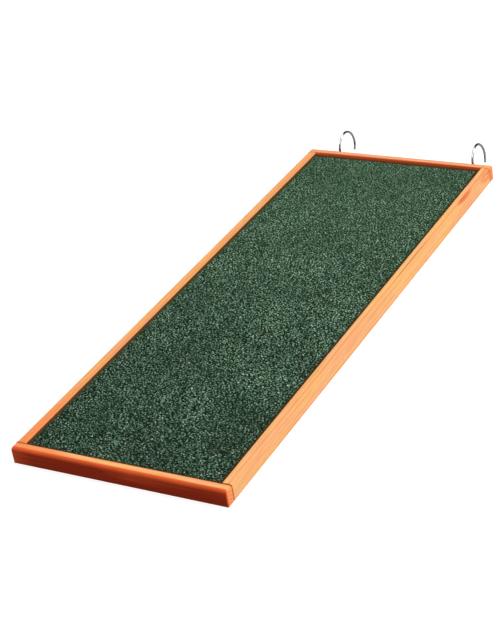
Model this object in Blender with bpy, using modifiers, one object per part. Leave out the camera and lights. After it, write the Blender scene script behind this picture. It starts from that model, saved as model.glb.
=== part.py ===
# Hutch ramp: a felt-covered board in a frame of four wooden rails, with two wire hooks at its high end.
# The ramp lies flat, +Y runs from its low end to its hooks, +X to its right side and +Z up.
# The origin is the centre of the underside. All sizes are in metres.

import math

import bmesh
import bpy
from mathutils import Vector

# The ramp as a whole
RAMP_WIDTH = 0.180
RAMP_LENGTH = 0.500

# The frame's rails, all cut from one strip and butted: the end rails run across, the side rails lie between
RAIL_THICKNESS = 0.008
RAIL_HEIGHT = 0.0136
ARRIS_RADIUS = 0.0022
INNER_ARRIS_RADIUS = 0.001
CORNER_RADIUS = 0.0012
EASED_RADIUS = 0.0002
ARRIS_SEGMENTS = 4

# The board that fills the frame, flush with its underside, and the felt on it
BOARD_THICKNESS = 0.009
FELT_THICKNESS = 0.002
FIT_GAP = 0.0003
FELT_MARGIN = 0.0011

# Lost-head brads, driven through the rails and punched below the surface
BRAD_LENGTH = 0.020
BRAD_RADIUS = 0.0006
BRAD_HEAD_RADIUS = 0.0008
BRAD_HEAD_THICKNESS = 0.0006
BRAD_NECK_TAPER = 0.0003
BRAD_POINT_LENGTH = 0.0016
BRAD_PUNCHED_DEPTH = 0.0005
BRAD_SIDES = 8
BRADS_IN_END_RAIL = 3
BRADS_IN_SIDE_RAIL = 4
SIDE_BRAD_MARGIN = 0.045

# Bent-wire screw hooks: shank, quarter bend, short rise and an open bowl with its mouth down
WIRE_RADIUS = 0.0011
HOOK_SHANK_LENGTH = 0.0182
HOOK_POINT_LENGTH = 0.003
HOOK_BEND_RADIUS = 0.002
HOOK_RISE = 0.0022
HOOK_BOWL_RADIUS = 0.0136
HOOK_TIP_ANGLE = math.radians(35)
HOOK_TIP_ROUNDING = 0.0005

# How far each hook sits in from its side of the ramp, how much of its shank stands out of the rail,
# how far it leans about its shank and how far its pilot hole runs out of square
HOOKS = {
    "left_hook": {
        "side": -1,
        "inset": 0.0269,
        "standoff": 0.003,
        "lean": math.radians(-6.2),
        "skew": math.radians(-3.7),
    },
    "right_hook": {
        "side": 1,
        "inset": 0.0194,
        "standoff": 0.0012,
        "lean": math.radians(-8.0),
        "skew": math.radians(-0.4),
    },
}
HOOK_ARC_STEP = math.radians(9)
BORE_SIDES = 12

# What the bores and pockets are cut with reaches this far past the surface
CUT_OVERRUN = 0.002

# Places that several pieces share
HALF_WIDTH = RAMP_WIDTH / 2
HALF_LENGTH = RAMP_LENGTH / 2
INNER_HALF_WIDTH = HALF_WIDTH - RAIL_THICKNESS
INNER_HALF_LENGTH = HALF_LENGTH - RAIL_THICKNESS
BOARD_MID_HEIGHT = BOARD_THICKNESS / 2

# Colours of the materials, linear
WOOD_COLOUR = (0.86, 0.44, 0.19, 1.0)
BOARD_COLOUR = (0.62, 0.42, 0.24, 1.0)
FELT_COLOUR = (0.045, 0.082, 0.055, 1.0)
STEEL_COLOUR = (0.45, 0.44, 0.43, 1.0)
CHROME_COLOUR = (0.78, 0.78, 0.80, 1.0)


def clear_scene():
    """Remove what the start-up scene holds."""
    for old in list(bpy.data.objects):
        bpy.data.objects.remove(old, do_unlink=True)


def make_collection(name, parent=None):
    """A new collection under the scene's own."""
    made = bpy.data.collections.new(name)
    (parent or bpy.context.scene.collection).children.link(made)
    return made


def make_material(name, colour, roughness, metallic=0.0):
    """A Principled material."""
    made = bpy.data.materials.new(name)
    made.use_nodes = True
    shader = made.node_tree.nodes["Principled BSDF"]
    shader.inputs["Base Color"].default_value = colour
    shader.inputs["Roughness"].default_value = roughness
    shader.inputs["Metallic"].default_value = metallic
    made.diffuse_color = colour
    return made


def mesh_object(name, mesh, collection, material=None):
    """A mesh as a named object of one collection."""
    made = bpy.data.objects.new(name, mesh)
    collection.objects.link(made)
    if material is not None:
        mesh.materials.append(material)
    return made


def block_between(name, low, high, collection, material=None):
    """A box from its low to its high corner, its object at the box's centre."""
    low, high = Vector(low), Vector(high)
    form = bmesh.new()
    bmesh.ops.create_cube(form, size=1.0)
    bmesh.ops.scale(form, vec=high - low, verts=form.verts)
    mesh = bpy.data.meshes.new(name)
    form.to_mesh(mesh)
    form.free()
    made = mesh_object(name, mesh, collection, material)
    made.location = (low + high) / 2
    return made


def round_edges(piece, radius_of):
    """Bevel a box's edges, each by its own radius.

    radius_of takes the axis that an edge runs along, "X", "Y" or "Z", and the side it lies on as a
    vector of -1, 0 and 1, and gives the radius.
    """
    form = bmesh.new()
    form.from_mesh(piece.data)
    weights = form.edges.layers.float.new("bevel_weight_edge")
    radii = {}
    for edge in form.edges:
        start, end = (corner.co for corner in edge.verts)
        along = max(range(3), key=lambda axis: abs(end[axis] - start[axis]))
        middle = (start + end) / 2
        side = tuple(0 if axis == along else round(math.copysign(1, middle[axis])) for axis in range(3))
        radii[edge] = radius_of("XYZ"[along], side)
    widest = max(radii.values())
    for edge, radius in radii.items():
        edge[weights] = radius / widest
    form.to_mesh(piece.data)
    form.free()
    rounding = piece.modifiers.new("rounded arrises", "BEVEL")
    rounding.limit_method = "WEIGHT"
    rounding.width = widest
    rounding.segments = ARRIS_SEGMENTS
    rounding.use_clamp_overlap = True


def cut_with(piece, cutters):
    """Cut the bores and pockets of one collection out of a piece."""
    boolean = piece.modifiers.new("bores", "BOOLEAN")
    boolean.operation = "DIFFERENCE"
    boolean.solver = "EXACT"
    boolean.operand_type = "COLLECTION"
    boolean.collection = cutters


def end_rail(name, end, collection, material):
    """A rail across the ramp's low end (-1) or high end (1), over the ramp's full width."""
    outer, inner = end * HALF_LENGTH, end * INNER_HALF_LENGTH
    rail = block_between(
        name,
        (-HALF_WIDTH, min(outer, inner), 0),
        (HALF_WIDTH, max(outer, inner), RAIL_HEIGHT),
        collection,
        material,
    )

    def radius_of(axis, side):
        if side[2] < 0:
            return EASED_RADIUS
        if axis == "X":
            return ARRIS_RADIUS if side[1] == end else INNER_ARRIS_RADIUS
        if axis == "Y":
            return ARRIS_RADIUS
        return CORNER_RADIUS if side[1] == end else 0.0

    round_edges(rail, radius_of)
    return rail


def side_rail(name, side, collection, material):
    """A rail along the ramp's left (-1) or right (1) side, butted between the end rails."""
    outer, inner = side * HALF_WIDTH, side * INNER_HALF_WIDTH
    reach = INNER_HALF_LENGTH - FIT_GAP
    rail = block_between(
        name,
        (min(outer, inner), -reach, 0),
        (max(outer, inner), reach, RAIL_HEIGHT),
        collection,
        material,
    )

    def radius_of(axis, place):
        if axis != "Y":
            return 0.0
        if place[2] < 0:
            return EASED_RADIUS
        return ARRIS_RADIUS if place[0] == side else INNER_ARRIS_RADIUS

    round_edges(rail, radius_of)
    return rail


def brad_mesh(name, clearance=0.0, overrun=0.0):
    """A lost-head brad's half section, head at the origin and point down -Z.

    clearance widens it into the bore that the brad sits in, and overrun lengthens its head outwards.
    """
    head = BRAD_HEAD_RADIUS + clearance
    shank = BRAD_RADIUS + clearance
    neck = -BRAD_HEAD_THICKNESS - BRAD_NECK_TAPER - clearance
    outline = [
        (0, overrun),
        (head, overrun),
        (head, -BRAD_HEAD_THICKNESS - clearance),
        (shank, neck),
        (shank, BRAD_POINT_LENGTH - BRAD_LENGTH - clearance),
        (0, -BRAD_LENGTH - clearance),
    ]
    mesh = bpy.data.meshes.new(name)
    corners = [(radius, 0, height) for radius, height in outline]
    mesh.from_pydata(corners, [(i, i + 1) for i in range(len(corners) - 1)], [])
    return mesh


def turn_about_z(piece, sides):
    """Turn a half section about its Z axis."""
    turned = piece.modifiers.new("turned", "SCREW")
    turned.axis = "Z"
    turned.angle = math.tau
    turned.steps = sides
    turned.render_steps = sides
    turned.use_merge_vertices = True
    turned.merge_threshold = 0.00001
    turned.use_smooth_shade = True


def place_brad(piece, place, inward):
    """Set a brad, or its bore, at a point of the rail's face and drive it inward."""
    inward = Vector(inward)
    piece.rotation_mode = "QUATERNION"
    piece.rotation_quaternion = inward.to_track_quat("-Z", "Y")
    piece.location = Vector(place) + inward * BRAD_PUNCHED_DEPTH


def end_rail_brads(end):
    """Places and directions of the brads in one end rail: into both side rails, then into the board."""
    face = end * HALF_LENGTH
    inward = (0, -end, 0)
    corner = HALF_WIDTH - RAIL_THICKNESS / 2
    places = [((side * corner, face, RAIL_HEIGHT / 2), inward) for side in (-1, 1)]
    pitch = 2 * INNER_HALF_WIDTH / (BRADS_IN_END_RAIL + 1)
    for i in range(BRADS_IN_END_RAIL):
        places.append(((-INNER_HALF_WIDTH + (i + 1) * pitch, face, BOARD_MID_HEIGHT), inward))
    return places


def side_rail_brads(side):
    """Places and directions of the brads in one side rail, all into the board."""
    first = -INNER_HALF_LENGTH + SIDE_BRAD_MARGIN
    pitch = -2 * first / (BRADS_IN_SIDE_RAIL - 1)
    return [
        ((side * HALF_WIDTH, first + i * pitch, BOARD_MID_HEIGHT), (-side, 0, 0))
        for i in range(BRADS_IN_SIDE_RAIL)
    ]


def make_brads(rail_name, places, parts, cutters, material):
    """One rail's brads as separate pieces, and the bores that they sit in."""
    for number, (place, inward) in enumerate(places, start=1):
        name = f"{rail_name}_brad_{number}"
        brad = mesh_object(name, brad_mesh(name), parts, material)
        turn_about_z(brad, BRAD_SIDES)
        place_brad(brad, place, inward)
        bore = mesh_object(f"{name}_bore", brad_mesh(f"{name}_bore", FIT_GAP, CUT_OVERRUN), cutters)
        turn_about_z(bore, BRAD_SIDES)
        place_brad(bore, place, inward)
        hide_cutter(bore)


def hide_cutter(cutter):
    """Keep a cutter out of renders and draw it as wire."""
    cutter.hide_render = True
    cutter.display_type = "WIRE"


def arc_points(centre, radius, start, end):
    """Points (y, z) along an arc, its own first point left out."""
    count = max(3, round(abs(end - start) / HOOK_ARC_STEP))
    points = []
    for i in range(1, count + 1):
        angle = start + (end - start) * i / count
        points.append((centre[0] + radius * math.cos(angle), centre[1] + radius * math.sin(angle)))
    return points


def hook_path(standoff):
    """The wire's centre line in the hook's own Y-Z plane, with a share of the wire's radius at each point.

    The rail's outer face is at y = 0 and the shank's axis at z = 0. The quarter bend starts standoff
    outside the face.
    """
    bend_centre = (standoff, HOOK_BEND_RADIUS)
    neck = standoff + HOOK_BEND_RADIUS
    bowl_centre = (neck + HOOK_BOWL_RADIUS, HOOK_BEND_RADIUS + HOOK_RISE)
    path = [
        (standoff - HOOK_SHANK_LENGTH, 0, 0.15),
        (standoff - HOOK_SHANK_LENGTH + HOOK_POINT_LENGTH, 0, 1),
        (standoff, 0, 1),
    ]
    path += [(y, z, 1) for y, z in arc_points(bend_centre, HOOK_BEND_RADIUS, -math.pi / 2, 0)]
    path.append((neck, bowl_centre[1], 1))
    path += [(y, z, 1) for y, z in arc_points(bowl_centre, HOOK_BOWL_RADIUS, math.pi, -HOOK_TIP_ANGLE)]
    # The cut end is rounded off over a short last length.
    last_y, last_z, _ = path[-1]
    run_out = (-math.sin(HOOK_TIP_ANGLE), -math.cos(HOOK_TIP_ANGLE))
    path.append((last_y + run_out[0] * HOOK_TIP_ROUNDING, last_z + run_out[1] * HOOK_TIP_ROUNDING, 0.6))
    return path


def make_hook(name, parts, cutters, material, side, inset, standoff, lean, skew):
    """A wire hook screwed into the high end rail, and the bore for its shank."""
    line = bpy.data.curves.new(name, "CURVE")
    line.dimensions = "3D"
    line.bevel_depth = WIRE_RADIUS
    line.bevel_resolution = 3
    line.use_fill_caps = True
    path = hook_path(standoff)
    spline = line.splines.new("POLY")
    spline.points.add(len(path) - 1)
    for point, (y, z, share) in zip(spline.points, path):
        point.co = (0, y, z, 1)
        point.radius = share
    line.materials.append(material)
    hook = bpy.data.objects.new(name, line)
    parts.objects.link(hook)
    entry = Vector((side * (HALF_WIDTH - inset), HALF_LENGTH, BOARD_MID_HEIGHT))
    hook.location = entry
    hook.rotation_euler = (0, lean, skew)

    depth = HOOK_SHANK_LENGTH - standoff + FIT_GAP + CUT_OVERRUN
    form = bmesh.new()
    bmesh.ops.create_cone(
        form,
        cap_ends=True,
        segments=BORE_SIDES,
        radius1=WIRE_RADIUS + FIT_GAP,
        radius2=WIRE_RADIUS + FIT_GAP,
        depth=depth,
    )
    mesh = bpy.data.meshes.new(f"{name}_bore")
    form.to_mesh(mesh)
    form.free()
    bore = mesh_object(f"{name}_bore", mesh, cutters)
    outward = Vector((-math.sin(skew), math.cos(skew), 0))
    bore.rotation_euler = (math.pi / 2, 0, skew)
    bore.location = entry + outward * (CUT_OVERRUN - depth / 2)
    hide_cutter(bore)
    return hook


def build():
    """Make every piece of the ramp."""
    clear_scene()
    parts = make_collection("hutch_ramp")
    cutters = make_collection("cutters")

    glazed_pine = make_material("glazed_pine", WOOD_COLOUR, 0.42)
    board_wood = make_material("board_wood", BOARD_COLOUR, 0.7)
    mineral_felt = make_material("mineral_felt", FELT_COLOUR, 0.95)
    steel = make_material("brad_steel", STEEL_COLOUR, 0.4, 1.0)
    chrome = make_material("hook_chrome", CHROME_COLOUR, 0.12, 1.0)

    wooden = [
        end_rail("front_rail", -1, parts, glazed_pine),
        end_rail("back_rail", 1, parts, glazed_pine),
        side_rail("left_rail", -1, parts, glazed_pine),
        side_rail("right_rail", 1, parts, glazed_pine),
    ]

    board_x = INNER_HALF_WIDTH - FIT_GAP
    board_y = INNER_HALF_LENGTH - FIT_GAP
    wooden.append(
        block_between(
            "deck_board", (-board_x, -board_y, 0), (board_x, board_y, BOARD_THICKNESS), parts, board_wood
        )
    )

    felt_x = INNER_HALF_WIDTH - FELT_MARGIN
    felt_y = INNER_HALF_LENGTH - FELT_MARGIN
    felt_low = BOARD_THICKNESS + FIT_GAP
    block_between(
        "roofing_felt",
        (-felt_x, -felt_y, felt_low),
        (felt_x, felt_y, felt_low + FELT_THICKNESS),
        parts,
        mineral_felt,
    )

    make_brads("front_rail", end_rail_brads(-1), parts, cutters, steel)
    make_brads("back_rail", end_rail_brads(1), parts, cutters, steel)
    make_brads("left_rail", side_rail_brads(-1), parts, cutters, steel)
    make_brads("right_rail", side_rail_brads(1), parts, cutters, steel)

    for name, place in HOOKS.items():
        make_hook(name, parts, cutters, chrome, **place)

    for piece in wooden:
        cut_with(piece, cutters)


build()
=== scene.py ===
# %% [markdown]
# # A felt-covered hutch ramp
#
# The real ramp is a board in a frame of four glazed pine strips. Green mineral roofing felt covers
# the board so that a rabbit finds a grip, and two plated wire hooks hang it on the hutch. The solid
# model of it is loaded first, as a fixed frame in metres, and every finished piece is placed by it.

# %% Load the solid model
import math

import bmesh
import bpy
from mathutils import Euler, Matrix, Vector, noise


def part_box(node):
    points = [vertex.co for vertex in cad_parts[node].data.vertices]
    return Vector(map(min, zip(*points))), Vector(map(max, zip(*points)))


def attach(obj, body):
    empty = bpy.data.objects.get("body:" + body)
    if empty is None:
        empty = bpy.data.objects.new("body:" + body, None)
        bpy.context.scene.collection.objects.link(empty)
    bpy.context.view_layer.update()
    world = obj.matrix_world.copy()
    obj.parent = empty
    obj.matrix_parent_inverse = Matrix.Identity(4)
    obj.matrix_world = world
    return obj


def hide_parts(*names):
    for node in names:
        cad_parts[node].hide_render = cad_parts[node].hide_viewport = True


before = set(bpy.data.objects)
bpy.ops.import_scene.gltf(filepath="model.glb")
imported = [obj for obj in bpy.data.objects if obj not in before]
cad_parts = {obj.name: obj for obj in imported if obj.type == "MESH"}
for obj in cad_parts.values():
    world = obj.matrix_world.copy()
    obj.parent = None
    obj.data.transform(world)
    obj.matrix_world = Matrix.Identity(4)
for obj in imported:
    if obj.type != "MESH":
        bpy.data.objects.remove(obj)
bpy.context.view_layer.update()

# %% [markdown]
# ## Sums on shader sockets
#
# A procedural finish is mostly arithmetic on coordinates. Adding every Math node by hand hides the
# formula, so a small class wraps a socket and lets it be added, multiplied or raised like a number.
# Colours and vectors keep their own nodes, because a Math node would turn a colour grey.


# %% A socket that can be used in sums
class Term:
    """One output socket of a material's tree, as a term of a Python expression."""

    def __init__(self, finish, socket):
        self.finish = finish
        self.socket = socket

    def sum_with(self, operation, *terms):
        """A Math node over the given terms."""
        return self.finish.node("ShaderNodeMath", {"operation": operation}, dict(enumerate(terms)))

    def __add__(self, other):
        return self.sum_with("ADD", self, other)

    def __radd__(self, other):
        return self.sum_with("ADD", other, self)

    def __sub__(self, other):
        return self.sum_with("SUBTRACT", self, other)

    def __rsub__(self, other):
        return self.sum_with("SUBTRACT", other, self)

    def __mul__(self, other):
        return self.sum_with("MULTIPLY", self, other)

    def __rmul__(self, other):
        return self.sum_with("MULTIPLY", other, self)

    def __truediv__(self, other):
        return self.sum_with("DIVIDE", self, other)

    def __pow__(self, other):
        return self.sum_with("POWER", self, other)

    def root(self):
        return self.sum_with("SQRT", self)

    def fraction(self):
        return self.sum_with("FRACT", self)

    def size(self):
        return self.sum_with("ABSOLUTE", self)

    def lesser(self, other):
        return self.sum_with("MINIMUM", self, other)

    def limited(self):
        """The term held between 0 and 1."""
        return self.sum_with("MAXIMUM", self.lesser(1.0), 0.0)

    def between(self, low, high):
        """0 below low, 1 above high, and a straight slope in between."""
        return ((self - low) / (high - low)).limited()


# %% One material and the nodes in it
def set_stops(ramp, stops):
    """Give a colour ramp its stops, as pairs of a place and a colour."""
    while len(ramp.elements) < len(stops):
        ramp.elements.new(1.0)
    for element, (place, colour) in zip(ramp.elements, stops):
        element.position = place
        element.color = (*colour, 1.0)


class Finish:
    """A material under construction: its Principled shader and the nodes that feed it."""

    def __init__(self, name):
        self.material = bpy.data.materials.new(name)
        self.material.use_nodes = True
        self.tree = self.material.node_tree
        self.shader = self.tree.nodes["Principled BSDF"]

    def plug(self, value, socket):
        """Link a term to a socket, or set the socket's own value."""
        if isinstance(value, Term):
            self.tree.links.new(value.socket, socket)
        else:
            socket.default_value = value

    def node(self, kind, settings, sockets, output=0):
        """Add a node: its type, its settings, then the values or links of its sockets."""
        made = self.tree.nodes.new(kind)
        for key, value in settings.items():
            if key == "stops":
                set_stops(made.color_ramp, value)
            else:
                setattr(made, key, value)
        for key, value in sockets.items():
            self.plug(value, made.inputs[key])
        return Term(self, made.outputs[output])

    def places(self):
        """The surface point in the object's own metres, as three terms."""
        point = self.node("ShaderNodeTexCoord", {}, {}, output=3)
        split = self.tree.nodes.new("ShaderNodeSeparateXYZ")
        self.tree.links.new(point.socket, split.inputs[0])
        return [Term(self, split.outputs[i]) for i in range(3)]

    def vector(self, x, y, z):
        return self.node("ShaderNodeCombineXYZ", {}, {0: x, 1: y, 2: z})

    def clouds(self, point, scale, detail, roughness=0.5):
        """Soft noise between 0 and 1 at a point given as three terms."""
        sockets = {"Vector": self.vector(*point), "Scale": scale, "Detail": detail, "Roughness": roughness}
        return self.node("ShaderNodeTexNoise", {}, sockets)

    def grain(self, point, along, across, detail, roughness=0.5):
        """Noise with one scale along the point's first term and another across it."""
        first, second, third = point
        return self.clouds((first * along, second * across, third * across), 1.0, detail, roughness)

    def mix(self, share, first, second):
        """A mix of two colours by a share from 0 to 1."""
        sockets = {0: share, 6: first, 7: second}
        return self.node("ShaderNodeMix", {"data_type": "RGBA"}, sockets, output=2)

    def layered(self, colour, layers):
        """A colour with others laid over it in turn, each given as (share, colour)."""
        for share, over in layers:
            colour = self.mix(share, colour, over)
        return colour

    def attribute(self, name):
        """A number painted on the mesh."""
        return self.node("ShaderNodeAttribute", {"attribute_name": name}, {}, output=2)

    def bump(self, height, distance, strength):
        """A shading normal from a height between 0 and 1, which stands for a distance in metres."""
        sockets = {"Height": height, "Distance": distance, "Strength": strength}
        return self.node("ShaderNodeBump", {}, sockets)

    def feed(self, **sockets):
        """Set or link the Principled shader's sockets, named with _ for a space."""
        for key, value in sockets.items():
            self.plug(value, self.shader.inputs[key.replace("_", " ")])
        return self.material


def rgb(red, green, blue):
    return (red, green, blue, 1.0)


print("shader helpers ready")

# %% [markdown]
# ## Glazed pine
#
# The rails are sawn from softwood and brushed with an orange glaze. A growth ring is a cylinder round
# the trunk's pith, so the rings are drawn as distances from a line that runs beside the strip. That
# one formula gives the long streaks on the faces and the curved bands on the cut ends. The glaze
# lies thick where the wood drinks it, on end grain. The end rails' faces that turn along the ramp's
# length are painted darker and redder the more they turn: partly thicker glaze, partly painted shade
# of faces out of the light. That share is painted on the mesh as a number.

# %% The rails' wood
PINE_YELLOW = rgb(0.97, 0.55, 0.18)
PINE_ROSE = rgb(0.96, 0.42, 0.25)
PINE_LATE = rgb(0.86, 0.28, 0.075)
PINE_LINE = rgb(0.50, 0.18, 0.060)
PINE_END = rgb(0.91, 0.245, 0.085)
PINE_DASH = rgb(0.84, 0.34, 0.13)
PINE_PALE = rgb(0.97, 0.60, 0.33)
PINE_STRIPE = rgb(0.72, 0.27, 0.10)
PAINTED_EDGE_HIGHLIGHT = rgb(0.80, 0.60, 0.40)
# Partly thicker glaze, partly painted shade: the end rails' faces that turn along the ramp's length, out of
# the light, get these darker, redder colours.
GLAZE_AND_SHADE_RED = rgb(0.82, 0.12, 0.030)
GLAZE_AND_SHADE_DEEP = rgb(0.265, 0.019, 0.0020)
JOINT_DARK = rgb(0.28, 0.070, 0.012)
KNOT_RED = rgb(0.84, 0.16, 0.040)
KNOT_DARK = rgb(0.58, 0.07, 0.025)
KNOT_PALE = rgb(0.96, 0.56, 0.42)
# Tar and painted shade where the rails' insides meet the felt.
SEAM_TAR_AND_SHADE_DARK = rgb(0.040, 0.026, 0.012)
SEAM_TAR_AND_SHADE_OLIVE = rgb(0.062, 0.050, 0.022)
RING_SPACING = 0.0027
SEAM_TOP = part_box("roofing_felt")[1].z
INNER_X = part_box("right_rail")[0].x
INNER_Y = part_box("back_rail")[0].y
# Noise in the pine: its scales along the strip and across it, its detail and its roughness.
SWAY = (9.0, 30.0, 2.0, 0.5)
PATCH = (16.0, 60.0, 2.0, 0.5)
STREAK = (14.0, 420.0, 3.0, 0.6)
DASH = (75.0, 620.0, 2.0, 0.6)
LINE = (11.0, 1100.0, 1.0, 0.5)
FIBRE = (60.0, 2600.0, 3.0, 0.6)
# How far sway shifts the rings across the strip, up it, and within their own spacing.
SIDE_SWAY = 0.0035
RISE_SWAY = 0.0020
RING_SWAY = 1.4
# Tar and painted shade fade out over this height, and sideways between these distances from the inner
# faces.
TAR_AND_SHADE_FADE = 0.0008
TAR_AND_SHADE_EDGE = (0.0006, 0.0002)
# A mark is full up to this share of its radii, squared.
SPOT_CORE = 0.35
# A ring's dark part takes this share of its width to stop.
RING_STOP = 0.01


def late_wood(ring, start, end):
    """The dark part of a growth ring, which deepens from start to end and then stops sharply."""
    return ring.between(start, end) * (1.0 - ring.between(end + RING_STOP, 1.0))


def spot(point, centre, radii):
    """A soft ellipsoid mask round a centre: 1 inside, 0 outside."""
    across, along, up = [((term - c) / r) ** 2.0 for term, c, r in zip(point, centre, radii)]
    return 1.0 - (across + along + up).between(SPOT_CORE, 1.0)


def glazed_pine(name, along, pith, light, tar_and_shade, marks):
    """Pine with its grain along one axis.

    pith is the trunk's centre in the strip's cross-section and light the colour of its early wood.
    The fifth argument says how tar and painted shade darken the inside where the rails meet the felt:
    (height that it reaches, share, colour).
    marks are (centre, radii, colour, share).
    """
    pine = Finish(name)
    x, y, z = pine.places()
    length, across = (x, y) if along == "X" else (y, x)
    strip = (length, across, z)
    sway = pine.grain(strip, *SWAY) - 0.5
    side = across - pith[0] + sway * SIDE_SWAY
    rise = z - pith[1] + sway * RISE_SWAY
    distance = (side ** 2.0 + rise ** 2.0).root()
    late = late_wood((distance / RING_SPACING + sway * RING_SWAY).fraction(), 0.35, 0.92)
    patch = pine.grain(strip, *PATCH)
    streak = pine.grain(strip, *STREAK)
    dash = pine.grain(strip, *DASH)
    line = pine.grain(strip, *LINE)
    fibre = pine.grain(strip, *FIBRE)
    glaze = pine.attribute("glaze")
    end = pine.attribute("end_grain")
    blotch = 0.5 * (streak - 0.5) + 0.30 * patch.between(0.55, 0.75)
    # Tar from the felt's edge and painted shade darken the frame's inside where it meets the felt, on some
    # rails above the felt too.
    inside = (x.size() - INNER_X).between(*TAR_AND_SHADE_EDGE) * (y.size() - INNER_Y).between(*TAR_AND_SHADE_EDGE)
    reach, tar_and_shade_share, tar_and_shade_colour = tar_and_shade

    layers = [
        (patch.between(0.46, 0.70) * 0.8, PINE_YELLOW),
        (patch.between(0.46, 0.28) * 0.8, PINE_ROSE),
        (late * (0.45 + 0.5 * end), PINE_LATE),
        (streak.between(0.50, 0.78) * 0.60, PINE_LATE),
        (fibre.between(0.52, 0.80) * 0.25, PINE_LATE),
        (dash.between(0.54, 0.72) * 0.38, PINE_DASH),
        (dash.between(0.46, 0.30) * 0.35, PINE_PALE),
        (line.between(0.64, 0.72) * 0.60, PINE_LINE),
        (end * (0.60 + 0.35 * late), PINE_END),
    ]
    layers += [(spot((x, y, z), centre, radii) * share, tone) for centre, radii, tone, share in marks]
    layers += [
        # Partly glaze, partly painted shade: faces that turn along the ramp's length are made darker and
        # redder.
        ((glaze * 2.0).limited(), GLAZE_AND_SHADE_RED),
        ((glaze * 2.0 - 1.0 - blotch).limited(), GLAZE_AND_SHADE_DEEP),
        (z.between(reach + TAR_AND_SHADE_FADE, reach) * inside * tar_and_shade_share, tar_and_shade_colour),
    ]
    colour = pine.layered(light, layers)

    roughness = 0.42 + 0.12 * fibre + 0.14 * end
    relief = pine.bump(late * 0.6 + fibre * 0.5 + streak * 0.4, distance=0.00012, strength=0.6)
    return pine.feed(Base_Color=colour, Roughness=roughness, Normal=relief, Specular_IOR_Level=0.05)


# %% [markdown]
# ## The rails
#
# Each rail is a box that follows its solid, cut across its length every few millimetres, and a Bevel
# by edge weights rounds its arrises. The router ran round the finished frame, so the two end rails
# are rounded at their ends too, and only the butt joints stay sharp. The faces then give a little,
# always inwards, as planed wood does.

# %% Measure the rails and name their rounding
ARRIS_RADIUS = 0.0022
INNER_ARRIS_RADIUS = 0.0010
END_ARRIS_RADIUS = 0.0030
CORNER_RADIUS = 0.0012
EASED_RADIUS = 0.0002
JOINT_RADIUS = 0.0001
ARRIS_SEGMENTS = 8
RAIL_STEP = 0.008
FACE_SHARE = 0.49
PLANING_DEPTH = 0.00010
PLANING_SCALE = 55.0
SHARP_ANGLE = math.radians(50)
END_RAILS = ("front_rail", "back_rail")
rails = {name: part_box(name) for name in (*END_RAILS, "left_rail", "right_rail")}
for name, (low, high) in rails.items():
    print(name, "size", [round(n * 1000, 2) for n in high - low])


# %% Helpers for a mesh piece
def new_object(name, data):
    """A new object, linked to the scene."""
    made = bpy.data.objects.new(name, data)
    bpy.context.scene.collection.objects.link(made)
    return made


def finish_object(name, mesh, material, replaced=()):
    """A finished mesh as a named piece of the ramp."""
    piece = new_object(name, mesh)
    mesh.materials.clear()
    mesh.materials.append(material)
    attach(piece, "root")
    for node in replaced:
        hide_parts(node)
    return piece


def evaluated_mesh(source, name):
    """A plain mesh of an object with its modifiers applied; the object itself is removed."""
    graph = bpy.context.evaluated_depsgraph_get()
    mesh = bpy.data.meshes.new_from_object(source.evaluated_get(graph))
    mesh.name = name
    bpy.data.objects.remove(source, do_unlink=True)
    return mesh


def paint(mesh, name, number_of):
    """Give every corner point a number, worked out from its place and normal."""
    layer = mesh.attributes.new(name, "FLOAT", "CORNER")
    for polygon in mesh.polygons:
        for loop in polygon.loop_indices:
            point = mesh.vertices[mesh.loops[loop].vertex_index].co
            layer.data[loop].value = number_of(point, polygon.normal)


# %% Shape one rail
def rail_mesh(name, low, high, radius_of):
    """A rail between two corners, its arrises rounded by radius_of(axis, side)."""
    size, middle = high - low, (high + low) / 2
    along = 0 if size.x > size.y else 1
    form = bmesh.new()
    bmesh.ops.create_cube(form, size=1.0)
    bmesh.ops.scale(form, vec=size, verts=form.verts)
    long_edges = [e for e in form.edges if abs((e.verts[1].co - e.verts[0].co)[along]) > size[along] / 2]
    cuts = round(size[along] / RAIL_STEP)
    bmesh.ops.subdivide_edges(form, edges=long_edges, cuts=cuts, use_grid_fill=True)
    weights = form.edges.layers.float.new("bevel_weight_edge")
    for edge in form.edges:
        run = edge.verts[1].co - edge.verts[0].co
        axis = max(range(3), key=lambda i: abs(run[i]))
        centre = (edge.verts[0].co + edge.verts[1].co) / 2
        place = [0, 0, 0]
        for i in range(3):
            if i != axis and abs(centre[i]) > size[i] * FACE_SHARE:
                place[i] = 1 if centre[i] > 0 else -1
        if sum(map(abs, place)) == 2:
            edge[weights] = radius_of("XYZ"[axis], tuple(place)) / END_ARRIS_RADIUS
    mesh = bpy.data.meshes.new(name)
    form.to_mesh(mesh)
    form.free()
    source = new_object(name, mesh)
    rounding = source.modifiers.new("arrises", "BEVEL")
    rounding.limit_method = "WEIGHT"
    rounding.width = END_ARRIS_RADIUS
    rounding.segments = ARRIS_SEGMENTS
    bpy.context.view_layer.update()
    made = evaluated_mesh(source, name)
    for vertex in made.vertices:
        vertex.co += middle
    return made


def plane_faces(mesh, seed):
    """Move every point a little along its normal, inwards only, as a planer leaves it."""
    shift = Vector((seed * 3.1, seed * 7.7, seed * 1.3))
    moves = []
    for vertex in mesh.vertices:
        amount = noise.noise(vertex.co * PLANING_SCALE + shift) * 0.5 + 0.5
        moves.append(vertex.normal * (-PLANING_DEPTH * amount))
    for vertex, move in zip(mesh.vertices, moves):
        vertex.co += move


def end_radius(end):
    """How an end rail's edges are rounded; end is -1 at the low end and 1 at the high end."""

    def radius_of(axis, side):
        if side[2] < 0:
            return EASED_RADIUS
        if axis == "X":
            return END_ARRIS_RADIUS if side[1] == end else INNER_ARRIS_RADIUS
        if axis == "Y":
            return ARRIS_RADIUS
        return CORNER_RADIUS if side[1] == end else JOINT_RADIUS

    return radius_of


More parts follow.
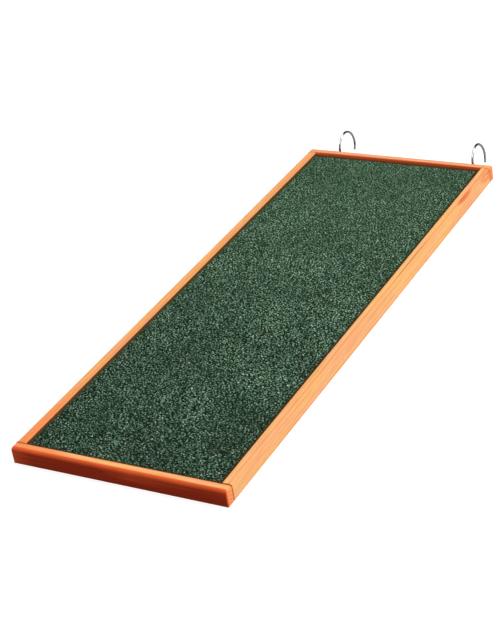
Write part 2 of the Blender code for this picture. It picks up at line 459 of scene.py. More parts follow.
def side_radius(side):
    """How a side rail's edges are rounded; side is -1 on the left and 1 on the right."""

    def radius_of(axis, place):
        if axis != "Y":
            return JOINT_RADIUS
        if place[2] < 0:
            return EASED_RADIUS
        return ARRIS_RADIUS if place[0] == side else INNER_ARRIS_RADIUS

    return radius_of


# %% Where the wood is marked, stained and glazed
FILLING_RADIUS = 0.0016
FILLING_SHARE = 0.3
JOINT_RADII = (0.0120, 0.0010, 0.0160)
JOINT_HEIGHT = 0.0068
brad_places = {}
for rail in rails:
    brad_places[rail] = [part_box(node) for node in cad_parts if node.startswith(f"{rail}_brad_")]
print("brads:", {rail: len(boxes) for rail, boxes in brad_places.items()})


def fillings_of(rail):
    """Where the punched brads of one rail are filled over: on its outer face."""
    low, high = rails[rail]
    places = []
    for brad_low, brad_high in brad_places[rail]:
        centre = (brad_low + brad_high) / 2
        if rail in END_RAILS:
            centre.y = low.y if rail == "front_rail" else high.y
        else:
            centre.x = low.x if rail == "left_rail" else high.x
        places.append((tuple(centre), (FILLING_RADIUS,) * 3, PINE_LATE, FILLING_SHARE))
    return places


def joint_marks():
    """Dark glaze that has run into the butt joints, most at the near right corner."""
    low, high = rails["right_rail"]
    marks = []
    for side, end, share in ((1, -1, 0.60), (-1, -1, 0.2), (-1, 1, 0.1)):
        centre = (side * (low.x + high.x) / 2, end * high.y, JOINT_HEIGHT)
        marks.append((centre, JOINT_RADII, JOINT_DARK, share))
    return marks


# Marks in the wood and the glaze: (centre, radii, colour, share).
MARKS = {
    "right_rail": [
        ((0.0880, 0.095, 0.0130), (0.0090, 0.1300, 0.0090), PINE_YELLOW, 0.45),
        ((0.0884, 0.187, 0.0130), (0.0021, 0.0175, 0.0030), KNOT_RED, 1.0),
        ((0.0886, 0.180, 0.0130), (0.0007, 0.0110, 0.0026), KNOT_DARK, 0.8),
        ((0.0895, 0.238, 0.0100), (0.0050, 0.0200, 0.0060), PINE_END, 0.7),
        ((0.0897, 0.236, 0.0116), (0.0030, 0.0100, 0.0009), KNOT_RED, 0.8),
        ((0.0897, 0.233, 0.0104), (0.0030, 0.0060, 0.0009), KNOT_PALE, 0.8),
        ((0.0885, 0.0, 0.0130), (0.0022, 0.9, 0.0030), PINE_STRIPE, 0.42),
        ((0.0871, 0.075, 0.0136), (0.0005, 0.0420, 0.0030), PINE_LINE, 0.8),
        ((0.0896, 0.010, 0.0110), (0.0030, 0.0500, 0.0005), PINE_LINE, 0.6),
    ],
    "front_rail": [((-0.0900, -0.2460, 0.0136), (0.0550, 0.0060, 0.0040), PINE_END, 0.75)],
    "back_rail": [],
    "left_rail": [
        ((-0.0825, 0.0, 0.0136), (0.0022, 0.6, 0.0040), PINE_STRIPE, 0.55),
        # Painted highlight: a pale line along the left rail's outer arris.
        ((-0.0890, 0.0, 0.0130), (0.0012, 0.6, 0.0040), PAINTED_EDGE_HIGHLIGHT, 0.8),
        ((-0.0845, -0.245, 0.0136), (0.0048, 0.09, 0.0040), PINE_END, 0.75),
    ],
}
# The colour of each strip's early wood.
TONES = {
    "front_rail": rgb(0.97, 0.48, 0.215),
    "back_rail": rgb(0.95, 0.43, 0.23),
    "left_rail": rgb(0.97, 0.43, 0.148),
    "right_rail": rgb(0.97, 0.51, 0.220),
}
# The tar and painted shade on each strip's inside where it meets the felt: (height that it reaches, share,
# colour).
INSIDE_TAR_AND_SHADE = {
    "front_rail": (SEAM_TOP - 0.0003, 0.8, SEAM_TAR_AND_SHADE_DARK),
    "back_rail": (SEAM_TOP - 0.0006, 0.55, SEAM_TAR_AND_SHADE_OLIVE),
    "left_rail": (SEAM_TOP + 0.0008, 0.95, SEAM_TAR_AND_SHADE_OLIVE),
    "right_rail": (SEAM_TOP - 0.0003, 0.8, SEAM_TAR_AND_SHADE_DARK),
}
# The trunk's centre in each strip's cross-section: across it and up.
PITHS = {
    "front_rail": (-0.262, -0.021),
    "back_rail": (0.223, 0.036),
    "left_rail": (-0.118, -0.016),
    "right_rail": (0.104, -0.010),
}
# The glaze and painted shade on a face that leans by THIN_TILT degrees, on an upright one, and the power of
# its rise.
THIN_TILT = 15.0
GLAZE_AND_SHADE_LEVELS = {"front_rail": (0.5, 1.0, 1.3), "back_rail": (0.5, 1.0, 0.5)}
INNER_GLAZE_AND_SHADE = (0.33, 0.5, 0.5)
# It loses this much at an end rail's left end, and less up to this distance from it.
LEFT_END_LOSS = 0.2
LEFT_END_LENGTH = 0.018
# End grain counts from this share of the normal on, and fully after this much more.
END_GRAIN_FROM = 0.35
END_GRAIN_SPAN = 0.4


def glaze_and_shade_of(rail):
    """How thick the glaze and painted shade lie, from 0 to 1: on the end rails' long faces, the more they
    turn along the ramp's length, thinner at the left end.
    """
    left_end = rails[rail][0].x

    def number_of(point, normal):
        if rail not in GLAZE_AND_SHADE_LEVELS:
            return 0.0
        thin, thick, power = INNER_GLAZE_AND_SHADE if rail == "back_rail" and normal.y < 0 else GLAZE_AND_SHADE_LEVELS[rail]
        thick = thick - LEFT_END_LOSS * max(0.0, 1.0 - (point.x - left_end) / LEFT_END_LENGTH)
        tilt = math.degrees(math.asin(min(1.0, abs(normal.y))))
        if tilt < THIN_TILT:
            return thin * tilt / THIN_TILT
        return thin + (thick - thin) * ((tilt - THIN_TILT) / (90.0 - THIN_TILT)) ** power

    return number_of


def end_grain_of(rail):
    """1 on a rail's sawn ends and 0 on its long faces."""
    axis = 0 if rail in END_RAILS else 1

    def number_of(point, normal):
        return max(0.0, min(1.0, (abs(normal[axis]) - END_GRAIN_FROM) / END_GRAIN_SPAN))

    return number_of


# %% Make the four rails
roundings = {"front_rail": end_radius(-1), "back_rail": end_radius(1)}
roundings |= {"left_rail": side_radius(-1), "right_rail": side_radius(1)}
for seed, (rail, (low, high)) in enumerate(rails.items(), start=1):
    mesh = rail_mesh(f"{rail}_wood", low, high, roundings[rail])
    plane_faces(mesh, seed)
    mesh.shade_smooth()
    mesh.set_sharp_from_angle(angle=SHARP_ANGLE)
    paint(mesh, "glaze", glaze_and_shade_of(rail))
    paint(mesh, "end_grain", end_grain_of(rail))
    along = "X" if rail in END_RAILS else "Y"
    marks = MARKS[rail] + fillings_of(rail) + joint_marks()
    wood = glazed_pine(f"{rail}_pine", along, PITHS[rail], TONES[rail], INSIDE_TAR_AND_SHADE[rail], marks)
    finish_object(f"{rail}_wood", mesh, wood, [rail])
    print(rail, "faces", len(mesh.polygons))

# %% [markdown]
# ## The board
#
# The board shows only from below. It is unglazed softwood, so its solid stays as it is and gets a
# pale grain that runs the length of the ramp.

# %% The board's finish
BOARD_LIGHT = rgb(0.66, 0.45, 0.25)
BOARD_DEEP = rgb(0.58, 0.38, 0.20)
BOARD_LATE = rgb(0.46, 0.25, 0.10)
BOARD_FIBRE = rgb(0.40, 0.23, 0.11)
BOARD_TAR = rgb(0.020, 0.018, 0.014)
# Tar soaks into the board's top to one depth at most, and colours it fully to another.
SOAK_DEPTH = 0.0006
SOAK_FULL = 0.0002


def plain_board(name):
    """Unglazed softwood with its grain along Y."""
    wood = Finish(name)
    x, y, z = wood.places()
    sway = wood.clouds((y * 5.0, x * 14.0, z), 1.0, 3.0)
    late = late_wood(((x * 38.0 + sway * 3.2) * 2.0).fraction(), 0.40, 0.94)
    fibre = wood.grain((y, x, z), 40.0, 1500.0, 3.0, 0.6)
    # The upper face is smeared with the tar that holds the felt.
    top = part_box("deck_board")[1].z
    colour = wood.layered(BOARD_LIGHT, [
        (sway, BOARD_DEEP),
        (late * 0.6, BOARD_LATE),
        (fibre.between(0.45, 0.8) * 0.35, BOARD_FIBRE),
        (z.between(top - SOAK_DEPTH, top - SOAK_FULL), BOARD_TAR),
    ])
    relief = wood.bump(fibre + late * 0.5, distance=0.0001, strength=0.6)
    return wood.feed(Base_Color=colour, Roughness=0.62 + 0.15 * fibre, Normal=relief)


def refinish(nodes, material):
    """Give CAD nodes a better material."""
    for node in nodes:
        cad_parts[node].data.materials.clear()
        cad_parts[node].data.materials.append(material)


refinish(["deck_board"], plain_board("board_softwood"))

# %% [markdown]
# ## Plated wire hooks
#
# A screw hook is one length of wire: a shank with a rolled thread, a tight quarter bend, a short
# rise and an open bowl. A Geometry Nodes tree sweeps a round profile along the centre line, so the
# wire's gauge and its number of sides are two named inputs.

# %% The hook's sizes, as in the solid
WIRE_RADIUS = 0.0011
WIRE_SIDES = 20
SHANK_LENGTH = 0.0182
BEND_RADIUS = 0.002
BEND_STEPS = 10
RISE = 0.0022
BOWL_RADIUS = 0.0136
BOWL_STEPS = 48
TIP_ANGLE = math.radians(35)
POINT_LENGTH = 0.003
# The point and the rounded tip: (distance from where it starts, share of the wire's gauge).
POINT = ((0.0, 0.05), (POINT_LENGTH * 0.6, 0.62), (POINT_LENGTH, 0.85))
TIP = ((0.00022, 0.97), (0.00038, 0.86), (0.00048, 0.6), (0.0005, 0.15))
THREAD_RADIUS = 0.00028
THREAD_SIDES = 6
THREAD_PITCH = 0.0011
THREAD_END = -0.0035
THREAD_RUNOUT = 0.0006
THREADED_SHARE = 0.9
# Steps of the thread's helix: in one turn, while it fades at an end, and while its core widens.
TURN_STEPS = 16
FADE_STEPS = 24
TAPER_STEPS = 40
# Each hook's side, its inset from that side, how far it stands out, and its two angles in degrees.
HOOKS = {
    "left_hook": {"side": -1, "inset": 0.0269, "standoff": 0.003, "lean": -6.2, "skew": -3.7},
    "right_hook": {"side": 1, "inset": 0.0194, "standoff": 0.0012, "lean": -8.0, "skew": -0.4},
}


def arc(centre, radius, start, end, count):
    """Points (y, z) along an arc, without its first one."""
    angles = [start + (end - start) * i / count for i in range(1, count + 1)]
    return [(centre[0] + radius * math.cos(a), centre[1] + radius * math.sin(a)) for a in angles]


def wire_line(standoff):
    """The hook's centre line: points (x, y, z, share of the gauge), the shank's axis along Y."""
    neck = standoff + BEND_RADIUS
    bowl = (neck + BOWL_RADIUS, BEND_RADIUS + RISE)
    line = [(standoff - SHANK_LENGTH + far, 0, share) for far, share in POINT]
    line += [(THREAD_END, 0, THREADED_SHARE), (THREAD_END + THREAD_RUNOUT, 0, 1), (standoff, 0, 1)]
    line += [(y, z, 1) for y, z in arc((standoff, BEND_RADIUS), BEND_RADIUS, -math.pi / 2, 0, BEND_STEPS)]
    line.append((neck, bowl[1], 1))
    line += [(y, z, 1) for y, z in arc(bowl, BOWL_RADIUS, math.pi, -TIP_ANGLE, BOWL_STEPS)]
    last = Vector(line[-1][:2])
    run = Vector((-math.sin(TIP_ANGLE), -math.cos(TIP_ANGLE)))
    line += [(*(last + run * far), share) for far, share in TIP]
    return [(0, *point) for point in line]


def thread_line(standoff):
    """The rolled thread's ridge: a helix round the shank, thinning out at both ends."""
    start = standoff - SHANK_LENGTH + POINT_LENGTH * 0.5
    turns = (THREAD_END - start) / THREAD_PITCH
    steps = round(turns * TURN_STEPS)
    line = []
    for i in range(steps + 1):
        angle = math.tau * turns * i / steps
        along = start + turns * THREAD_PITCH * i / steps
        fade = min(1.0, i / FADE_STEPS, (steps - i) / FADE_STEPS)
        radius = WIRE_RADIUS * (0.55 + 0.38 * min(1.0, i / TAPER_STEPS))
        line.append((radius * math.cos(angle), along, radius * math.sin(angle), 0.15 + 0.85 * fade))
    return line


# %% Geometry Nodes: sweep a wire
def add(tree, kind, settings=None, sockets=None):
    """Add a node with its settings and its sockets' values or links."""
    made = tree.nodes.new(kind)
    for key, value in (settings or {}).items():
        setattr(made, key, value)
    for key, value in (sockets or {}).items():
        if isinstance(value, bpy.types.NodeSocket):
            tree.links.new(value, made.inputs[key])
        else:
            made.inputs[key].default_value = value
    return made


def new_tree(name, inputs):
    """A geometry node tree and its input sockets: the geometry and the named inputs."""
    tree = bpy.data.node_groups.new(name, "GeometryNodeTree")
    for key, kind in ({"Geometry": "Geometry"} | inputs).items():
        tree.interface.new_socket(key, in_out="INPUT", socket_type=f"NodeSocket{kind}")
    tree.interface.new_socket("Geometry", in_out="OUTPUT", socket_type="NodeSocketGeometry")
    return tree, add(tree, "NodeGroupInput").outputs


def sweep_tree():
    """A tree that turns a curve into a wire of a given gauge and number of sides."""
    tree, given = new_tree("wire_sweep", {"Gauge Radius": "Float", "Sides": "Int"})
    ring = add(tree, "GeometryNodeCurvePrimitiveCircle", {"mode": "RADIUS"},
               {"Resolution": given["Sides"], "Radius": given["Gauge Radius"]})
    share = add(tree, "GeometryNodeInputRadius")
    swept = add(tree, "GeometryNodeCurveToMesh", {}, {
        "Curve": given["Geometry"], "Profile Curve": ring.outputs["Curve"],
        "Scale": share.outputs["Radius"], "Fill Caps": True})
    smooth = add(tree, "GeometryNodeSetShadeSmooth", {}, {"Geometry": swept.outputs["Mesh"]})
    add(tree, "NodeGroupOutput", {}, {"Geometry": smooth.outputs["Geometry"]})
    return tree


def run_tree(source, tree, values, name):
    """Run a node tree on an object with its named inputs set, and give the plain mesh."""
    modifier = source.modifiers.new(tree.name, "NODES")
    modifier.node_group = tree
    for socket in tree.interface.items_tree:
        if socket.in_out == "INPUT" and socket.name in values:
            modifier[socket.identifier] = values[socket.name]
    bpy.context.view_layer.update()
    return evaluated_mesh(source, name)


# %% The plating
PLATE_BRIGHT = rgb(0.63, 0.63, 0.65)
PLATE_SMEARED = rgb(0.52, 0.52, 0.55)


def bright_plating(name):
    """Chromed wire: a mirror with a few finger marks and drawing lines."""
    plate = Finish(name)
    point = plate.places()
    smear = plate.clouds(point, 300.0, 3.0)
    drawn = plate.grain(point, 5000.0, 900.0, 2.0)
    roughness = 0.06 + 0.10 * smear.between(0.45, 0.8)
    colour = plate.mix(smear, PLATE_BRIGHT, PLATE_SMEARED)
    relief = plate.bump(drawn, distance=0.00002, strength=0.3)
    return plate.feed(Base_Color=colour, Metallic=1.0, Roughness=roughness, Normal=relief)


plating = bright_plating("bright_plating")
wire_sweep = sweep_tree()


# %% Make the hooks
def sweep_line(name, path, gauge, sides):
    """Sweep a wire of one gauge along points (x, y, z, share of the gauge)."""
    line = bpy.data.curves.new(name, "CURVE")
    line.dimensions = "3D"
    spline = line.splines.new("POLY")
    spline.points.add(len(path) - 1)
    for point, (x, y, z, share) in zip(spline.points, path):
        point.co = (x, y, z, 1)
        point.radius = share
    source = new_object(name, line)
    return run_tree(source, wire_sweep, {"Gauge Radius": gauge, "Sides": sides}, name)


def set_in_rail(mesh, hook):
    """Lean a swept mesh about its shank, turn it with its pilot hole and move it into the back rail."""
    board_low, board_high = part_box("deck_board")
    outer = rails["back_rail"][1]
    across = hook["side"] * (outer.x - hook["inset"])
    entry = Vector((across, outer.y, (board_low.z + board_high.z) / 2))
    turn = Euler((0, math.radians(hook["lean"]), math.radians(hook["skew"]))).to_matrix()
    for vertex in mesh.vertices:
        vertex.co = entry + turn @ vertex.co


for node, hook in HOOKS.items():
    wire = sweep_line(f"{node}_wire", wire_line(hook["standoff"]), WIRE_RADIUS, WIRE_SIDES)
    thread = sweep_line(f"{node}_thread", thread_line(hook["standoff"]), THREAD_RADIUS, THREAD_SIDES)
    for mesh in (wire, thread):
        set_in_rail(mesh, hook)
    finish_object(f"{node}_wire", wire, plating, [node])
    finish_object(f"{node}_thread", thread, plating)
    solid_low, solid_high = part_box(node)
    offs = [min(v.co[i] for v in wire.vertices) - solid_low[i] for i in range(3)]
    offs += [solid_high[i] - max(v.co[i] for v in wire.vertices) for i in range(3)]
    print(node, "faces", len(wire.polygons), len(thread.polygons))
    print(node, "inside its solid's box by mm", [round(n * 1000, 2) for n in offs])


# %% The brads
STEEL_BRIGHT = rgb(0.50, 0.49, 0.47)
STEEL_DARK = rgb(0.36, 0.35, 0.34)


def drawn_steel(name):
    """Plain drawn wire of the brads, dull with faint lines."""
    steel = Finish(name)
    x, y, z = steel.places()
    lines = steel.clouds((x * 900.0, y * 900.0, z * 4000.0), 1.0, 2.0)
    colour = steel.mix(lines, STEEL_BRIGHT, STEEL_DARK)
    return steel.feed(Base_Color=colour, Metallic=1.0, Roughness=0.30 + 0.2 * lines)


brads = [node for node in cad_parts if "_brad_" in node]
refinish(brads, drawn_steel("drawn_steel"))
print("brads refinished:", len(brads))

# %% [markdown]
# ## Roofing felt
#
# The felt is a bitumen sheet with crushed slate pressed into it. Seen from a step away the slate is
# what matters, so the sheet is a dark, slightly uneven bed and the granules are real chips scattered
# on it by Geometry Nodes. Each chip carries a random number called tint, which picks its colour.

# %% The bed of the felt
BED_STEP = 0.004
BED_WAVE = 0.00025
BED_WAVE_SCALE = 30.0
GRANULE_HEIGHT = 0.0005
FELT_DARK = rgb(0.006, 0.016, 0.009)
FELT_EDGE_TAR_AND_SHADE = rgb(0.058, 0.038, 0.014)
FELT_HIGH_END_TONE = rgb(0.079, 0.162, 0.089)
BITUMEN_DARK = rgb(0.003, 0.012, 0.005)
BITUMEN_GREEN = rgb(0.026, 0.055, 0.032)
BITUMEN_DUST = rgb(0.08, 0.13, 0.09)
# Tar and the rails' painted shadow cover the felt up to the first distance below from its edge and
# fade out by the second, nearer to it on the left.
EDGE_TAR_AND_SHADE_WIDTH = 0.0012
EDGE_TAR_AND_SHADE_END = 0.0034
EDGE_TAR_AND_SHADE_SHARE = 0.95
LEFT_EDGE_TAR_AND_SHADE_LOSS = 0.0016
felt_low, felt_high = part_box("roofing_felt")


def edge_shade(x, y):
    """1 at the felt's cut edge, where tar has come through and the rails' shadow is painted, and 0 from a
    few millimetres inwards.
    """
    ends = felt_high.y - y.size()
    right = felt_high.x - x
    left = x - felt_low.x + LEFT_EDGE_TAR_AND_SHADE_LOSS
    return left.lesser(right).lesser(ends).between(EDGE_TAR_AND_SHADE_END, EDGE_TAR_AND_SHADE_WIDTH)


def bitumen(name):
    """The felt's bed: tarry green with fine slate dust."""
    felt = Finish(name)
    x, y, z = felt.places()
    grit = felt.clouds((x, y, z), 2600.0, 3.0, 0.7)
    dust = felt.clouds((x, y, z), 900.0, 2.0, 0.6)
    colour = felt.layered(BITUMEN_DARK, [
        (grit.between(0.35, 0.68), BITUMEN_GREEN),
        (dust.between(0.62, 0.76) * 0.4, BITUMEN_DUST),
        # Tar and the rails' painted shadow along the felt's edge.
        (edge_shade(x, y) * EDGE_TAR_AND_SHADE_SHARE, FELT_EDGE_TAR_AND_SHADE),
    ])
    relief = felt.bump(grit, distance=0.0004, strength=0.9)
    return felt.feed(Base_Color=colour, Roughness=0.95, Normal=relief, Specular_IOR_Level=0.05)


def felt_bed(name):
    """The sheet: a thin slab whose top is a fine grid, gently uneven."""
    low, high = felt_low, felt_high
    columns = round((high.x - low.x) / BED_STEP)
    rows = round((high.y - low.y) / BED_STEP)
    form = bmesh.new()
    bmesh.ops.create_grid(form, x_segments=columns, y_segments=rows, size=0.5)
    for vertex in form.verts:
        x = low.x + (vertex.co.x + 0.5) * (high.x - low.x)
        y = low.y + (vertex.co.y + 0.5) * (high.y - low.y)
        wave = noise.noise(Vector((x * BED_WAVE_SCALE, y * BED_WAVE_SCALE, 4.0))) * 0.5 + 0.5
        vertex.co = (x, y, high.z - GRANULE_HEIGHT - BED_WAVE * wave)
    # The walls and the underside are built in order round the middle, the same in every run.
    centre = (low + high) / 2
    rim = {vertex for edge in form.edges if edge.is_boundary for vertex in edge.verts}
    rim = sorted(rim, key=lambda vertex: math.atan2(vertex.co.y - centre.y, vertex.co.x - centre.x))
    foot = [form.verts.new((vertex.co.x, vertex.co.y, low.z)) for vertex in rim]
    for i, vertex in enumerate(rim):
        form.faces.new((rim[i - 1], foot[i - 1], foot[i], vertex))
    form.faces.new(foot)
    bmesh.ops.recalc_face_normals(form, faces=form.faces)
    mesh = bpy.data.meshes.new(name)
    form.to_mesh(mesh)
    form.free()
    return mesh


bed = finish_object("felt_bed", felt_bed("felt_bed"), bitumen("bitumen"), ["roofing_felt"])
print("felt bed faces", len(bed.data.polygons))


# %% The slate's colours
SLATE_SHADE = rgb(0.02, 0.040, 0.025)


def crushed_slate(name):
    """Granules: mostly dull green, some near black, some pale, a few teal or rusty."""
    slate = Finish(name)
    x, y, z = slate.places()
    stops = [
        (0.00, (0.001, 0.009, 0.003)),
        (0.30, (0.006, 0.022, 0.009)),
        (0.36, (0.052, 0.114, 0.064)),
        (0.54, (0.118, 0.240, 0.139)),
        (0.70, (0.250, 0.450, 0.280)),
        (0.82, (0.430, 0.680, 0.475)),
        (0.86, (0.110, 0.330, 0.310)),
        (0.90, (0.300, 0.320, 0.140)),
        (0.94, (0.560, 0.820, 0.615)),
        (1.00, (0.880, 1.000, 0.900)),
    ]
    colour = slate.node("ShaderNodeValToRGB", {"stops": stops}, {0: slate.attribute("tint")})
    grain = slate.clouds((x, y, z), 3200.0, 2.0)
    lengthwise_tone = slate.clouds((x, y, z), 22.0, 2.0) * 0.5 + y * 0.65
    colour = slate.layered(colour, [
        (grain.between(0.3, 0.7) * 0.1, SLATE_SHADE),
        # Darker toward the low end, in soft patches.
        (lengthwise_tone.between(0.42, 0.05) * 0.62, FELT_DARK),
        # The colours grow paler and more even toward the high end.
        (y.between(-0.06, 0.22) * 0.58, FELT_HIGH_END_TONE),
        # Tar and the rails' painted shadow along the felt's edge.
        (edge_shade(x, y) * EDGE_TAR_AND_SHADE_SHARE, FELT_EDGE_TAR_AND_SHADE),
    ])
    return slate.feed(Base_Color=colour, Roughness=0.70 + 0.15 * grain, Specular_IOR_Level=0.05)


# %% Geometry Nodes: scatter granules
GRANULE_DENSITY = 4000000.0
CHIP_SIDES = 5
CHIP_TILT = 0.5
CHIP_TURN = 6.283
CHIP_LOWEST = 0.0004
CHIP_HIGHEST = 0.0009
# What the seed is raised by for the chips' sizes and tints, so that they don't follow the turns.
SIZE_SEED = 17.0
TINT_SEED = 41.0


def granule_tree():
    """A tree that scatters small five-sided chips over a face, each with a size, turn and tint."""
    numbers = ("Spacing", "Smallest", "Largest", "Tint From", "Tint To")
    tree, given = new_tree("slate_granules", dict.fromkeys(numbers, "Float") | {"Seed": "Int"})
    seed = given["Seed"]

    def raised(shift):
        return add(tree, "ShaderNodeMath", {"operation": "ADD"}, {0: seed, 1: shift}).outputs[0]

    def chip_size(width, height):
        return add(tree, "ShaderNodeCombineXYZ", {}, {"X": width, "Y": width, "Z": height}).outputs[0]

    points = add(tree, "GeometryNodeDistributePointsOnFaces", {"distribute_method": "POISSON"}, {
        "Mesh": given["Geometry"], "Distance Min": given["Spacing"],
        "Density Max": GRANULE_DENSITY, "Seed": seed})
    chip = add(tree, "GeometryNodeMeshCone", {}, {
        "Vertices": CHIP_SIDES, "Radius Top": 0.0, "Radius Bottom": 1.0, "Depth": 1.0})
    turn = add(tree, "FunctionNodeRandomValue", {"data_type": "FLOAT_VECTOR"}, {
        "Min": (-CHIP_TILT, -CHIP_TILT, 0.0), "Max": (CHIP_TILT, CHIP_TILT, CHIP_TURN), "Seed": seed})
    size = add(tree, "FunctionNodeRandomValue", {"data_type": "FLOAT_VECTOR"}, {
        "Min": chip_size(given["Smallest"], CHIP_LOWEST), "Max": chip_size(given["Largest"], CHIP_HIGHEST),
        "Seed": raised(SIZE_SEED)})
    scattered = add(tree, "GeometryNodeInstanceOnPoints", {}, {
        "Points": points.outputs["Points"], "Instance": chip.outputs["Mesh"],
        "Rotation": turn.outputs[0], "Scale": size.outputs[0]})
    tint = add(tree, "FunctionNodeRandomValue", {"data_type": "FLOAT"}, {
        2: given["Tint From"], 3: given["Tint To"], "Seed": raised(TINT_SEED)})
    stored = add(tree, "GeometryNodeStoreNamedAttribute", {"data_type": "FLOAT", "domain": "INSTANCE"}, {
        "Geometry": scattered.outputs["Instances"], "Name": "tint", "Value": tint.outputs[1]})
    real = add(tree, "GeometryNodeRealizeInstances", {}, {"Geometry": stored.outputs["Geometry"]})
    add(tree, "NodeGroupOutput", {}, {"Geometry": real.outputs["Geometry"]})
    return tree


# %% Scatter the slate
slate = crushed_slate("crushed_slate")
granules = granule_tree()
LAYERS = {
    "granules_dark": {"Spacing": 0.00145, "Smallest": 0.0004, "Largest": 0.00095,
                      "Tint From": 0.0, "Tint To": 0.80, "Seed": 11},
    "granules_green": {"Spacing": 0.00145, "Smallest": 0.0003, "Largest": 0.00093,
                       "Tint From": 0.0, "Tint To": 0.95, "Seed": 23},
    "granules_pale": {"Spacing": 0.0024, "Smallest": 0.0003, "Largest": 0.0010,
                      "Tint From": 0.72, "Tint To": 1.0, "Seed": 37},
}
LAYER_LIFT = 0.00012
GRANULE_MARGIN = 0.0011
LEFT_MARGIN = 0.0003


def one_face(name, corners):
    """An object of one four-cornered face."""
    mesh = bpy.data.meshes.new(name)
    mesh.from_pydata(corners, [], [(0, 1, 2, 3)])
    return new_object(name, mesh)


def level_corners(left, right, near, far, height):
    """The corners of a level rectangle."""
    return [(left, near, height), (right, near, height), (right, far, height), (left, far, height)]


def scatter_plane(name, height):
    """A rectangle just inside the felt's edge, to scatter granules on."""
    left, right = felt_low.x + LEFT_MARGIN, felt_high.x - GRANULE_MARGIN
    near, far = felt_low.y + GRANULE_MARGIN, felt_high.y - GRANULE_MARGIN
    return one_face(name, level_corners(left, right, near, far, height))


for level, (name, values) in enumerate(LAYERS.items()):
    source = scatter_plane(name, felt_high.z - GRANULE_HEIGHT + level * LAYER_LIFT)
    mesh = run_tree(source, granules, values, name)
    # The mill rolls the slate flat, so nothing stands above the felt's own thickness or past its edge.
    for vertex in mesh.vertices:
        for axis in range(3):
            vertex.co[axis] = max(felt_low[axis], min(felt_high[axis], vertex.co[axis]))
    finish_object(name, mesh, slate)
    print(name, "faces", len(mesh.polygons), "attributes", [a.name for a in mesh.attributes])

# %% [markdown]
# ## Studio
#
# The photograph has a white ground, one broad light from the right and behind, and a long lens. The
# floor is white to the camera and to reflections, and plainer to bounced light, so that the rail
# that faces the camera stays in shade as in the photograph. A bright wire would vanish on white, so
# cards that only mirrors show give it dark and grey bands.

# %% Floor
WHITE = rgb(1, 1, 1)
SEEN_RAYS = ("Is Camera Ray", "Is Glossy Ray", "Is Transmission Ray")
FLOOR_HALF = 3.0
FLOOR_HEIGHT = -0.0003
FLOOR_GREY = rgb(0.42, 0.42, 0.42)
FLOOR_GLOW = 0.8


def studio_floor():
    """A pale floor that keeps the ramp's shadow and shows as white."""
    floor = one_face("floor", level_corners(-FLOOR_HALF, FLOOR_HALF, -FLOOR_HALF, FLOOR_HALF, FLOOR_HEIGHT))
    ground = Finish("floor_paper")
    rays = ground.tree.nodes.new("ShaderNodeLightPath")
    camera, glossy, through = [Term(ground, rays.outputs[kind]) for kind in SEEN_RAYS]
    seen = (camera + glossy + through).limited()
    glow = ground.node("ShaderNodeEmission", {}, {"Color": WHITE, "Strength": FLOOR_GLOW})
    paper = ground.node("ShaderNodeBsdfDiffuse", {}, {"Color": FLOOR_GREY})
    lit = ground.node("ShaderNodeAddShader", {}, {0: glow, 1: paper})
    both = ground.node("ShaderNodeMixShader", {}, {0: seen, 1: paper, 2: lit})
    ground.plug(both, ground.tree.nodes["Material Output"].inputs["Surface"])
    floor.data.materials.append(ground.material)


studio_floor()


# %% World
FILL_LEVEL = 0.28


def studio_world():
    """White to the camera and in metal, a soft grey fill on surfaces."""
    world = bpy.data.worlds.new("studio")
    bpy.context.scene.world = world
    world.use_nodes = True
    tree = world.node_tree
    back = tree.nodes["Background"]
    back.inputs["Color"].default_value = WHITE
    rays = tree.nodes.new("ShaderNodeLightPath")
    seen = rays.outputs[SEEN_RAYS[0]]
    for kind in SEEN_RAYS[1:]:
        either = add(tree, "ShaderNodeMath", {"operation": "MAXIMUM"}, {0: seen, 1: rays.outputs[kind]})
        seen = either.outputs[0]
    level = add(tree, "ShaderNodeMapRange", {}, {"Value": seen, "To Min": FILL_LEVEL, "To Max": 1.0})
    tree.links.new(level.outputs["Result"], back.inputs["Strength"])


studio_world()


# %% Cards for the wire to mirror
CARD_LEFT, CARD_RIGHT = -1.6, 2.2
CARD_NEAR, CARD_FAR = 0.2505, 1.5
CARD_LOW, CARD_HIGH = -0.0001, 1.6


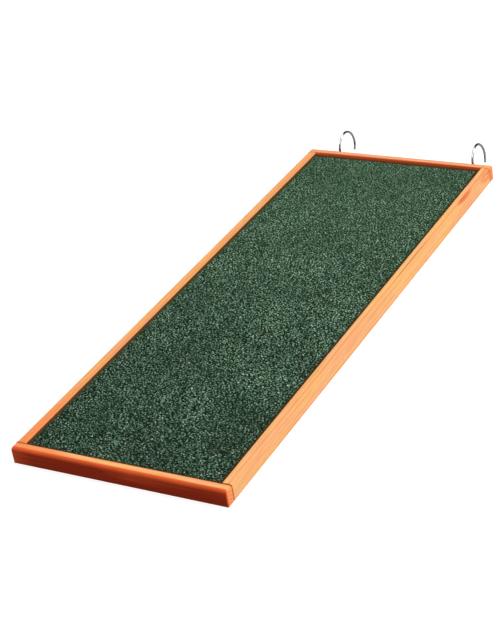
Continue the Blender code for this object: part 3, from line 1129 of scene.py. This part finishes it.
def matt_paper(name, grey):
    """Paper of one grey, without any shine."""
    return Finish(name).feed(Base_Color=rgb(grey, grey, grey), Roughness=1.0, Specular_IOR_Level=0.0)


def upright_corners(y):
    """The corners of a card that stands across the ramp's length."""
    return [(CARD_LEFT, y, CARD_LOW), (CARD_RIGHT, y, CARD_LOW),
            (CARD_RIGHT, y, CARD_HIGH), (CARD_LEFT, y, CARD_HIGH)]


def mirrored_card(name, corners, material):
    """A card that only mirrors show, so that the bright wire stands out on white."""
    card = one_face(name, corners)
    card.data.materials.append(material)
    card.visible_camera = False
    card.visible_diffuse = False
    card.visible_shadow = False


black_paper = matt_paper("black_paper", 0.05)
grey_paper = matt_paper("grey_paper", 0.38)
mirrored_card("card_behind", upright_corners(CARD_FAR), black_paper)
mirrored_card("card_below", level_corners(CARD_LEFT, CARD_RIGHT, CARD_NEAR, CARD_FAR, CARD_LOW), grey_paper)
mirrored_card("card_before", upright_corners(-CARD_FAR), black_paper)


# %% Lamps
def sun(name, toward, energy, spread):
    """A far lamp that shines from one direction, soft by its spread in degrees."""
    lamp = bpy.data.lights.new(name, "SUN")
    lamp.energy = energy
    lamp.angle = math.radians(spread)
    new_object(name, lamp).rotation_euler = Vector(toward).to_track_quat("Z", "Y").to_euler()


sun("key", toward=(0.70, 0.30, 0.65), energy=2.8, spread=25)
sun("fill", toward=(-0.10, -0.75, 0.65), energy=0.85, spread=60)

# %% Camera
CAMERA_PLACE = (0.61857, -1.00825, 0.68289)
CAMERA_TURN = tuple(math.radians(angle) for angle in (59.3034, 8.13, 27.8807))
CAMERA_LENS = 94.557
CAMERA_SENSOR = 36.0


def studio_camera():
    """The photograph's camera: a long lens, a little rolled."""
    lens = bpy.data.cameras.new("camera")
    lens.lens = CAMERA_LENS
    lens.sensor_width = CAMERA_SENSOR
    camera = new_object("camera", lens)
    camera.location = CAMERA_PLACE
    camera.rotation_euler = CAMERA_TURN
    bpy.context.scene.camera = camera


studio_camera()
bpy.context.scene.view_settings.view_transform = "Standard"
